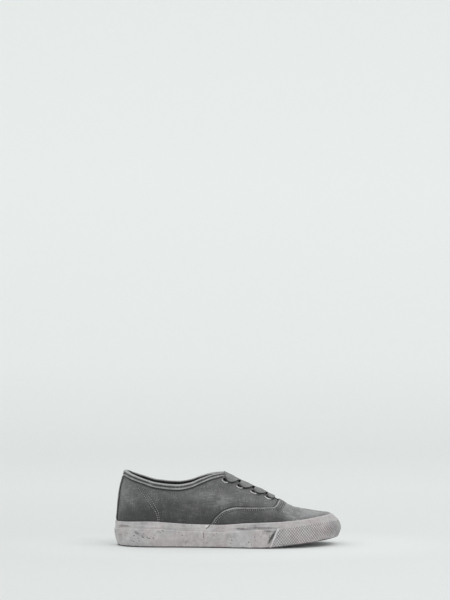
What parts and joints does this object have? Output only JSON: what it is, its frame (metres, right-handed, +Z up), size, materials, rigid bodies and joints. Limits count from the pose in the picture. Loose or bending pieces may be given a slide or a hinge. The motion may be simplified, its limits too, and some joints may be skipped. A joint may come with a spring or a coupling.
{
  "type": "canvas deck sneaker",
  "caption": "Worn low-top canvas lace-up sneaker with a flat rubber sole, wrapped rubber sidewall and toe bumper, bound collar and flat laces.",
  "frame": {"origin": "on the floor, under the middle of the shoe's bounding box", "axes": "+X from heel to toe, -Y towards the outer (lateral) side, +Z up; the shoe stands empty on its sole"},
  "size_m": [0.2651, 0.0961, 0.0879],
  "materials": {
    "canvas": "washed, matt",
    "vamp_canvas": "washed, matt",
    "binding": "worn, matt",
    "sidewall_rubber": "dirty, matt",
    "tread_rubber": "matt",
    "footbed": "matt",
    "lace": "matt",
    "eyelet": "dull"
  },
  "bodies": {
    "root": {"outsole": "tread_rubber", "foxing": "sidewall_rubber", "sidewall_tape": "sidewall_rubber", "toe_bumper": "sidewall_rubber", "insole": "footbed", "upper": "canvas", "vamp": "vamp_canvas", "heel_stay": "binding", "collar_binding": "binding", "tongue": "canvas", "lace_bar": "lace", "lace_cross_1": "lace", "lace_cross_2": "lace", "lace_cross_3": "lace", "eyelet_outer_1": "eyelet", "eyelet_outer_2": "eyelet", "eyelet_outer_3": "eyelet", "eyelet_outer_4": "eyelet", "eyelet_inner_1": "eyelet", "eyelet_inner_2": "eyelet", "eyelet_inner_3": "eyelet", "eyelet_inner_4": "eyelet"}
  },
  "joints": []
}
